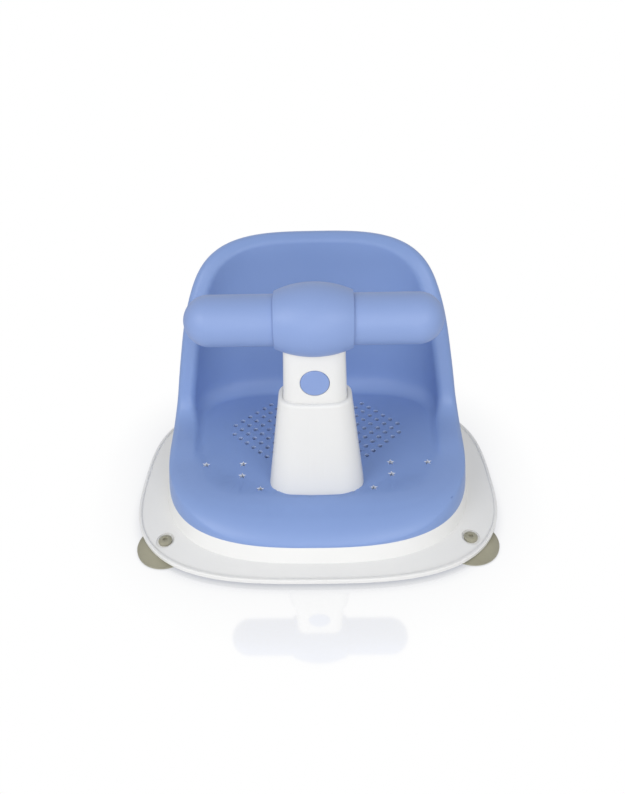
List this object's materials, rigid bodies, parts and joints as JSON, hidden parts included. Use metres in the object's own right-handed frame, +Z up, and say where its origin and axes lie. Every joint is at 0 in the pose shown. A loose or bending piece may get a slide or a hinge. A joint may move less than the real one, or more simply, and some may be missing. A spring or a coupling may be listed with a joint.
{
  "type": "baby bath seat",
  "caption": "Blue wrap-round bath seat on a white tray with suction cups, with a padded T-bar that lifts out of a pedestal between the legs.",
  "frame": {"origin": "on the surface it stands on, under the middle of the tray", "axes": "+Z up, -Y towards the front that the child faces, X across the seat"},
  "size_m": [0.3552, 0.2682, 0.2454],
  "materials": {
    "blue_plastic": "satin",
    "white_plastic": "satin",
    "inner_plastic": "matt",
    "soft_blue": "soft matt",
    "cup_rubber": "soft, slightly see-through",
    "steel": "plated"
  },
  "bodies": {
    "seat": {"base_plate": "white_plastic", "seat_shell": "blue_plastic", "pedestal_cover": "white_plastic", "post_guide": "inner_plastic", "suction_cup_front_left": "cup_rubber", "suction_cup_front_right": "cup_rubber", "suction_cup_rear_left": "cup_rubber", "suction_cup_rear_right": "cup_rubber", "pedestal_screws": "steel", "cover_screws": "steel", "shell_screws": "steel"},
    "t_bar": {"neck_front_shell": "white_plastic", "neck_rear_shell": "white_plastic", "hub_front_cover": "soft_blue", "hub_rear_cover": "soft_blue", "bar_tube": "steel", "bar_end_plug_left": "inner_plastic", "bar_end_plug_right": "inner_plastic", "grip_left": "soft_blue", "grip_right": "soft_blue", "latch_leaf": "inner_plastic", "neck_screws": "steel", "hub_screws": "steel"},
    "button": {"release_button": "blue_plastic"}
  },
  "joints": [
    {"name": "t_bar_lift", "type": "slide", "parent": "seat", "child": "t_bar", "axis": [0, 0, 1], "range_m": [0, 0.085]},
    {"name": "button_press", "type": "slide", "parent": "t_bar", "child": "button", "axis": [0, 1, 0], "range_m": [0, 0.004], "stiffness_N_per_m": 500, "springref_m": -0.002, "deforming": ["latch_leaf"]}
  ]
}
